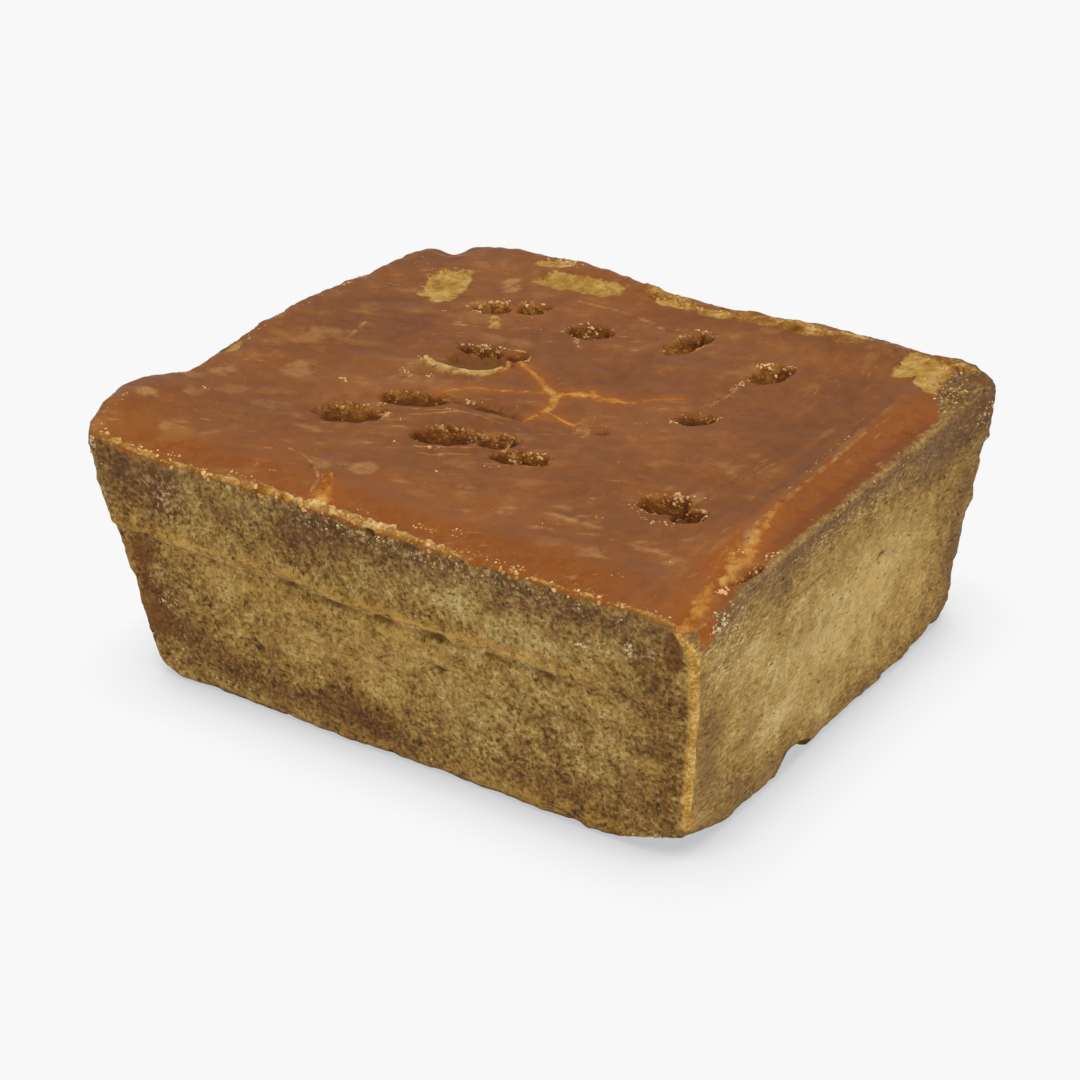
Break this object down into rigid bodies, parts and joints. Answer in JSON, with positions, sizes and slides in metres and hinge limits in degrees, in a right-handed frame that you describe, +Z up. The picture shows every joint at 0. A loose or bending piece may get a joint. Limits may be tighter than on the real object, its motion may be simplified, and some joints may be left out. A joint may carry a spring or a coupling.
{
  "type": "jaggery block",
  "caption": "Solid block of cane jaggery with sloping sides, set in a tapered mould, with a pitted, smooth top and crumbly sides.",
  "frame": {"origin": "on the ground, under the middle of the block's box", "axes": "+X along the long side of the block, -Y out of its long front side, +Z up through its pitted top"},
  "size_m": [0.1408, 0.1236, 0.0557],
  "materials": {
    "jaggery": "satin"
  },
  "bodies": {
    "root": {"jaggery_block": "jaggery"}
  },
  "joints": []
}
